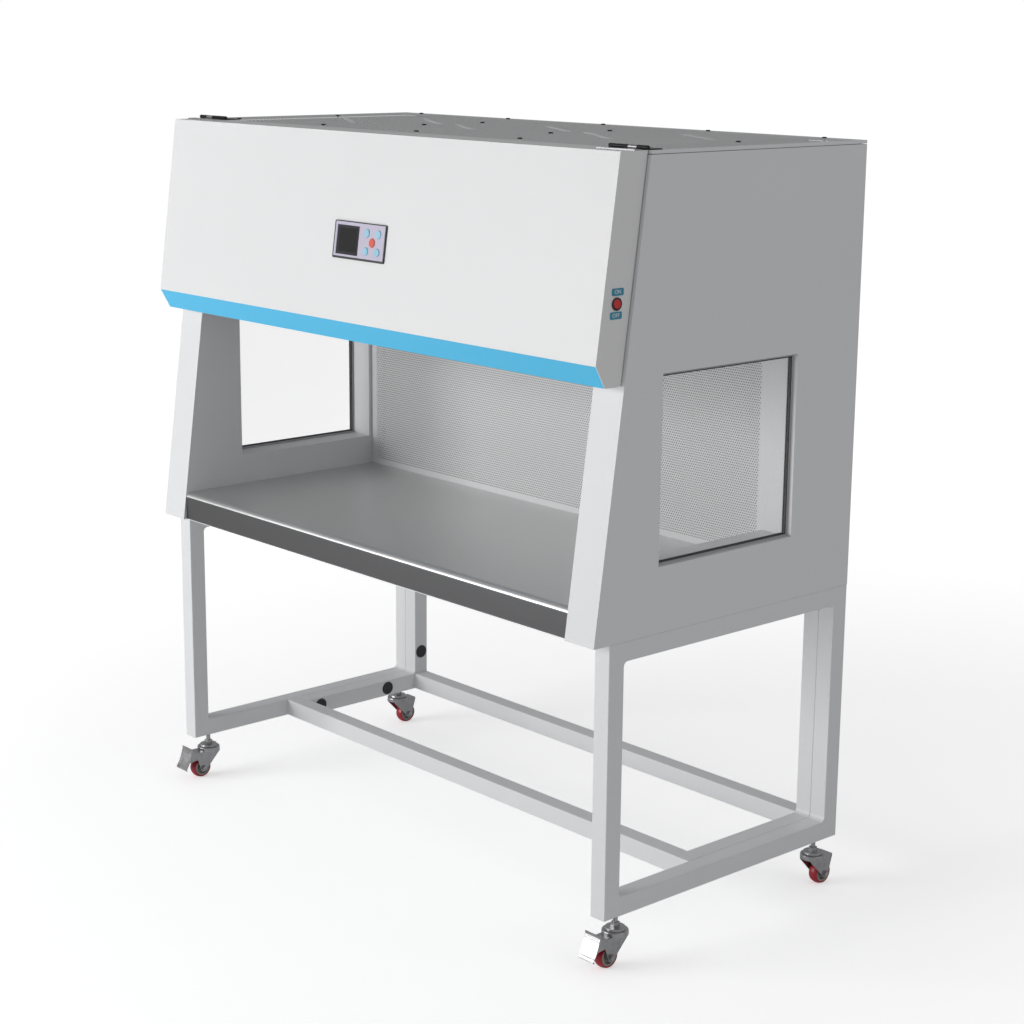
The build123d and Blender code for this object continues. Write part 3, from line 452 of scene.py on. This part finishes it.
# %% The perforation node group
def perforation_group():
    """Repeats the incoming tile over a staggered grid, welds it and gives it its material."""
    group = bpy.data.node_groups.new("Perforation", "GeometryNodeTree")
    new_socket = group.interface.new_socket
    for name, kind in (
        ("Geometry", "NodeSocketGeometry"),
        ("Columns", "NodeSocketInt"),
        ("Rows", "NodeSocketInt"),
        ("Pitch X", "NodeSocketFloat"),
        ("Pitch Y", "NodeSocketFloat"),
        ("Material", "NodeSocketMaterial"),
    ):
        new_socket(name, in_out="INPUT", socket_type=kind)
    new_socket("Geometry", in_out="OUTPUT", socket_type="NodeSocketGeometry")

    def add(kind, **inputs):
        """A node, with some of its inputs set or linked by name."""
        node = group.nodes.new(kind)
        for key, value in inputs.items():
            put(group, node.inputs[key], value)
        return node

    def first_output(node):
        return Value(group, node.outputs[0])

    source = {output.name: Value(group, output) for output in add("NodeGroupInput").outputs}
    columns = source["Columns"]
    index = first_output(add("GeometryNodeInputIndex"))
    row = (index / columns).math("FLOOR")
    column = index - row * columns
    shift = row.math("MODULO", 2) * 0.5
    across = (column + shift) * source["Pitch X"]
    along = row * source["Pitch Y"]
    place = first_output(add("ShaderNodeCombineXYZ", X=across, Y=along))
    points = add("GeometryNodePoints", Count=columns * source["Rows"], Position=place)
    copies = add("GeometryNodeInstanceOnPoints", Points=first_output(points),
                 Instance=source["Geometry"])
    real = add("GeometryNodeRealizeInstances", Geometry=first_output(copies))
    weld = add("GeometryNodeMergeByDistance", Geometry=first_output(real), Distance=0.00001)
    dress = add("GeometryNodeSetMaterial", Geometry=first_output(weld),
                Material=source["Material"])
    put(group, add("NodeGroupOutput").inputs["Geometry"], first_output(dress))
    return group


perforation = perforation_group()
sockets = perforation.interface.items_tree
socket_ids = {item.name: item.identifier for item in sockets if item.in_out == "INPUT"}
print("group inputs:", list(socket_ids))

# %% [markdown]
# The tile is drawn flat. After the nodes have run, the result is taken as a plain mesh and turned
# into place, so that the modifier is gone before the piece is handed to the frame.

# %% Punch a sheet
def hexagonal_tile(name, half_x, half_y, hole):
    """A flat rectangle round a hexagonal hole, which is `hole` from its middle to a corner."""
    tile = bmesh.new()
    rim = [(0, half_y), (half_x, half_y), (half_x, -half_y),
           (0, -half_y), (-half_x, -half_y), (-half_x, half_y)]
    outer = [tile.verts.new((x, y, 0)) for x, y in rim]
    angles = [math.radians(90 - 60 * i) for i in range(6)]
    inner = [tile.verts.new((hole * math.cos(a), hole * math.sin(a), 0)) for a in angles]
    for i in range(6):
        j = (i + 1) % 6
        tile.faces.new((outer[i], inner[i], inner[j], outer[j]))
    mesh = bpy.data.meshes.new(name)
    tile.to_mesh(mesh)
    tile.free()
    return mesh


def punched_sheet(name, pitch_x, pitch_y, hole, columns, rows, turn, paint, replaced):
    """A perforated field of the bench, so many columns by rows, placed by a matrix."""
    tile_name = name + "_tile"
    worker = add_object(tile_name, hexagonal_tile(tile_name, pitch_x / 2, pitch_y / 2, hole))
    modifier = worker.modifiers.new("Perforation", "NODES")
    modifier.node_group = perforation
    settings = {"Columns": columns, "Rows": rows, "Pitch X": pitch_x, "Pitch Y": pitch_y,
                "Material": paint.material}
    for key, value in settings.items():
        modifier[socket_ids[key]] = value
    sheet = evaluated_mesh(worker)
    sheet.transform(turn)
    add_piece(name, sheet, "bench", replaced)
    print(name, "holes", columns * rows, "faces", len(sheet.polygons))

# %% [markdown]
# ## The diffuser
# The air leaves through 3.4 mm holes. The field is punched in two halves, because each piece stays
# under 200,000 triangles. A folded border holds it, a hair behind the field, and goes round the
# sheet's edges.

# %% Diffuser sheet and border
sheet_thickness = 0.0015
pitch_x = 0.00608
pitch_z = 0.00537
diffuser_hole = 0.0017
border_x = 0.016
border_z = 0.011
field_y = diffuser_low.y + 0.0002
border_y = diffuser_low.y + 0.0003
fold_y = border_y + sheet_thickness

field_width = diffuser_high.x - diffuser_low.x - 2 * border_x
field_height = diffuser_high.z - diffuser_low.z - 2 * border_z
columns = int(field_width / pitch_x) // 2
rows = int(field_height / pitch_z)
start_z = (diffuser_high.z + diffuser_low.z) / 2 - (rows - 1) * pitch_z / 2
upright = Matrix.Rotation(math.radians(90), 4, "X")
for side, start in (("left", -columns * pitch_x + pitch_x / 4), ("right", pitch_x / 4)):
    turn = Matrix.Translation((start, field_y, start_z)) @ upright
    punched_sheet(f"{side}_diffuser_field", pitch_x, pitch_z, diffuser_hole, columns, rows, turn,
                  perforated_coat, ["diffuser_panel"])

border = bmesh.new()
inner_x = columns * pitch_x - pitch_x / 2
field_low = start_z - pitch_z / 2
field_high = start_z + (rows - 0.5) * pitch_z
for low_x, high_x in ((diffuser_low.x, -inner_x), (inner_x, diffuser_high.x)):
    add_box(border, (low_x, border_y, diffuser_low.z), (high_x, fold_y, diffuser_high.z))
for low_z, high_z in ((diffuser_low.z, field_low), (field_high, diffuser_high.z)):
    add_box(border, (-inner_x, border_y, low_z), (inner_x, fold_y, high_z))
for low_x in (diffuser_low.x, diffuser_high.x - sheet_thickness):
    add_box(border, (low_x, fold_y, diffuser_low.z),
            (low_x + sheet_thickness, diffuser_high.y, diffuser_high.z))
for low_z in (diffuser_low.z, diffuser_high.z - sheet_thickness):
    add_box(border, (diffuser_low.x + sheet_thickness, fold_y, low_z),
            (diffuser_high.x - sheet_thickness, diffuser_high.y, low_z + sheet_thickness))
finish_mesh(border, "diffuser_border", perforated_coat, "bench",
            ["diffuser_panel"])

# %% [markdown]
# ## The lid
# The lid draws the air in. Its 6 mm holes lie 10 mm apart, in rows that run from front to back. It
# has a plain border, a hair below the field, with a turned-down lip. A thin shadow gap stays open
# under the lip.

# %% Lid sheet and border
lid_pitch_y = 0.010
lid_pitch_x = lid_pitch_y * math.sqrt(3) / 2
lid_hole = 0.0031
lid_border_x = 0.014
lid_border_front = 0.014
lid_border_rear = 0.012
top_z = lid_high.z
sheet_top = top_z - 0.0001
sheet_low = sheet_top - sheet_thickness
lip_low = lid_low.z + 0.0013

lid_columns = int((lid_high.x - lid_low.x - 2 * lid_border_x) / lid_pitch_x)
lid_rows = int((lid_high.y - lid_low.y - lid_border_front - lid_border_rear) / lid_pitch_y)
start_x = (lid_columns - 1) * lid_pitch_x / 2
start_y = lid_low.y + lid_border_front + lid_pitch_y / 2
quarter = Matrix.Rotation(math.radians(90), 4, "Z")
turn = Matrix.Translation((start_x, start_y, top_z)) @ quarter
punched_sheet("intake_field", lid_pitch_y, lid_pitch_x, lid_hole, lid_rows, lid_columns, turn,
              lid_field_painted_light_coat, ["top_panel"])

lid = bmesh.new()
field_x = -start_x - lid_pitch_x / 2
field_rear = start_y + (lid_rows - 1) * lid_pitch_y
for low_x, high_x in ((lid_low.x, field_x), (-field_x, lid_high.x)):
    add_box(lid, (low_x, lid_low.y, sheet_low), (high_x, lid_high.y, sheet_top))
for low_y, high_y in ((lid_low.y, start_y), (field_rear, lid_high.y)):
    add_box(lid, (field_x, low_y, sheet_low), (-field_x, high_y, sheet_top))
for low_x in (lid_low.x, lid_high.x - sheet_thickness):
    add_box(lid, (low_x, lid_low.y, lip_low), (low_x + sheet_thickness, lid_high.y, sheet_low))
for low_y in (lid_low.y, lid_high.y - sheet_thickness):
    add_box(lid, (lid_low.x + sheet_thickness, low_y, lip_low),
            (lid_high.x - sheet_thickness, low_y + sheet_thickness, sheet_low))
finish_mesh(lid, "lid_border", coat, "bench", ["top_panel"])

# %% [markdown]
# Six low ribs lie slantwise across the holes. Each runs between two points, given as X and as the
# distance from the front.

# %% Ribs on the lid
rib_width = 0.012
rib_height = 0.001
rib_ends = (
    ((-0.571, 0.423), (-0.365, 0.290)),
    ((-0.427, 0.548), (-0.192, 0.404)),
    ((-0.177, 0.435), (0.005, 0.321)),
    ((-0.002, 0.549), (0.175, 0.441)),
    ((0.216, 0.453), (0.422, 0.320)),
    ((0.389, 0.566), (0.557, 0.470)),
)
front = Vector((0, cad_box[0][1], top_z))
ribs = bmesh.new()
for ends in rib_ends:
    first, last = (front + Vector((*end, 0)) for end in ends)
    run = last - first
    middle = (first + last) / 2 + Vector((0, 0, rib_height / 2))
    turn = Matrix.Rotation(math.atan2(run.y, run.x), 4, "Z")
    size = Matrix.Diagonal((run.length, rib_width, rib_height, 1))
    bmesh.ops.create_cube(ribs, size=1.0, matrix=Matrix.Translation(middle) @ turn @ size)
finish_mesh(ribs, "lid_ribs", coat, "bench")

# %% [markdown]
# ## Switch plates
# Two small plates say which way the switch works. The letters are curves turned into a mesh, laid
# on the plate.

# %% ON and OFF plates
plate_half_y = 0.015
plate_half_z = 0.0068
plate_corner = 0.003
plate_thickness = 0.0006
corner_steps = 6
letter_size = 0.0105
letter_extrude = 0.0001
plate_x = cover_high.x
letter_x = plate_x + plate_thickness + letter_extrude


def switch_plate(word, y, z):
    """A rounded plate on the cheek, with a word on it."""
    name = word.lower() + "_plate"
    plate = bmesh.new()
    ring = []
    for side_y, side_z, quadrant in ((1, 1, 0), (-1, 1, 1), (-1, -1, 2), (1, -1, 3)):
        middle_y = y + side_y * (plate_half_y - plate_corner)
        middle_z = z + side_z * (plate_half_z - plate_corner)
        for step in range(corner_steps + 1):
            angle = math.radians(90 * (quadrant + step / corner_steps))
            ring.append((plate_x, middle_y + plate_corner * math.cos(angle),
                         middle_z + plate_corner * math.sin(angle)))
    face = plate.faces.new([plate.verts.new(point) for point in ring])
    raised = bmesh.ops.extrude_face_region(plate, geom=[face])
    moved = [part for part in raised["geom"] if isinstance(part, bmesh.types.BMVert)]
    bmesh.ops.translate(plate, verts=moved, vec=(plate_thickness, 0, 0))
    finish_mesh(plate, name, plate_teal, "cover")

    curve = bpy.data.curves.new(name + "_word", "FONT")
    curve.body = word
    curve.size = letter_size
    curve.align_x = "CENTER"
    curve.align_y = "CENTER"
    curve.extrude = letter_extrude
    letters = evaluated_mesh(add_object(name + "_word", curve))
    letters.transform(Matrix(((0, 0, 1, letter_x), (1, 0, 0, y), (0, 1, 0, z), (0, 0, 0, 1))))
    letters.materials.clear()
    letters.materials.append(plate_white.material)
    add_piece(name + "_letters", letters, "cover")


switch_middle = (switch_low + switch_high) / 2
switch_plate("ON", switch_middle.y + 0.0025, switch_middle.z + 0.022)
switch_plate("OFF", switch_middle.y - 0.0014, switch_middle.z - 0.021)
print("switch centre", switch_middle)

# %% [markdown]
# ## A material for every CAD node
# Each node that stays visible takes the material of what it is made of.

# %% Hand out the materials
finishes = {
    "left_side_panel": coat, "right_side_panel": coat, "left_side_liner": coat,
    "right_side_liner": coat, "floor_pan": coat, "rear_panel": coat, "ceiling_panel": coat,
    "electrical_box": coat, "left_side_frame": coat, "right_side_frame": coat,
    "cross_rails": coat, "filter_shelf": coat, "left_inner_frame": coat,
    "right_inner_frame": coat, "front_cover": cover_coat, "window_panes": window,
    "window_gaskets": gasket_grey, "work_surface": steel, "hepa_filter": filter_media,
    "ceiling_lamp": lamp_opal, "blower_deck": galvanised, "blower_housings": galvanised,
    "left_impeller": galvanised, "right_impeller": galvanised, "prefilter": filter_foam_painted_shade,
    "mains_inlet": black_plastic, "switch_bezel": black_plastic, "frame_plugs": black_plastic,
    "top_screws": black_oxide, "hinge_fixed_leaves": black_oxide, "hinge_cover_leaves": zinc,
    "control_bezel": membrane, "control_screen": screen, "start_button": button_red,
    "switch_rocker": rocker_red, "caster_stems": chrome,
}
for corner in ("lower_left", "upper_left", "lower_right", "upper_right"):
    finishes[corner + "_button"] = button_blue
for corner in ("front_left", "front_right", "rear_left", "rear_right"):
    finishes[corner + "_fork"] = chrome
    finishes[corner + "_axle"] = zinc
    finishes[corner + "_hub"] = hub_grey
    finishes[corner + "_tyre"] = tyre_red
for corner in ("front_left", "front_right"):
    finishes[corner + "_brake_pedal"] = chrome

for name, paint in finishes.items():
    for slot in nodes[name].material_slots:
        slot.material = paint.material
print("nodes with no finish:", [name for name in nodes if name not in finishes])

# %% [markdown]
# ## Studio
# A pale floor catches soft shadows. The camera sees a white room, while the object is lit by a
# dimmer one, so its own pale paint keeps its tones. For the camera alone the floor glows a little,
# and more so far away, where it has to meet the white room without a line.

# %% Floor and world
floor_reach = 30
glow_near = 0.46
glow_far = 0.70
glow_starts = 1.1
glow_run = 2.6
room_light = 0.34

floor_mesh = bpy.data.meshes.new("floor")
floor_corners = [(side_x * floor_reach, side_y * floor_reach, 0)
                 for side_x, side_y in ((-1, -1), (1, -1), (1, 1), (-1, 1))]
floor_mesh.from_pydata(floor_corners, [], [(0, 1, 2, 3)])
floor = add_object("floor", floor_mesh)
floor_paint = Paint("studio_floor", Roughness=0.9, Emission_Color=grey(1))
floor_paint.colour(floor_paint.noise(0.6), grey(0.93), grey(0.95))
x, y, z = floor_paint.axes()
distance = (x * x + y * y).math("SQRT")
far = ((distance - glow_starts) / glow_run).larger(0).smaller(1)
seen = floor_paint.node("ShaderNodeLightPath", "Is Camera Ray")
floor_paint.set(Emission_Strength=seen * (far * (glow_far - glow_near) + glow_near))
floor_mesh.materials.append(floor_paint.material)

world = bpy.data.worlds.new("studio")
bpy.context.scene.world = world
world.use_nodes = True
tree = world.node_tree
background = tree.nodes["Background"]
seen = Value(tree, tree.nodes.new("ShaderNodeLightPath").outputs["Is Camera Ray"])
put(tree, background.inputs["Color"], grey(1))
put(tree, background.inputs["Strength"], seen * (1 - room_light) + room_light)
print("studio ready")

# %% [markdown]
# ## Lights
# One big soft light stands in front and a little to the left, so the front is brighter than the
# right side, as in the photograph. A weak one, high on the right and a little behind, keeps the
# right side and the top from going dark.

# %% Soft lights
def soft_light(name, place, target, width, height, power):
    light = bpy.data.lights.new(name, "AREA")
    light.shape = "RECTANGLE"
    light.size = width
    light.size_y = height
    light.energy = power
    lamp = add_object(name, light)
    lamp.location = place
    aim = Vector(target) - Vector(place)
    lamp.rotation_euler = aim.to_track_quat("-Z", "Y").to_euler()


soft_light("key", place=(-2.4, -5.4, 1.7), target=(0, 0, 0.8), width=3.6, height=2.6, power=205)
soft_light("side_fill", place=(4.5, 1.0, 3.2), target=(0, 0, 0.9), width=3.0, height=2.5, power=16)

# %% [markdown]
# ## Camera
# The camera stands where the photograph was taken from: in front, to the right, and a little above
# the bench.

# %% Camera
camera = bpy.data.cameras.new("camera")
camera.lens = 74.5
camera.sensor_width = 36.0
camera.shift_x = -0.0020
camera.clip_end = 100
viewer = add_object("camera", camera)
viewer.location = (3.4512, -3.0211, 1.8146)
viewer.rotation_euler = Euler([math.radians(a) for a in (76.8947, -0.4955, 48.1242)], "XYZ")
bpy.context.scene.camera = viewer
bpy.context.scene.view_settings.view_transform = "Standard"
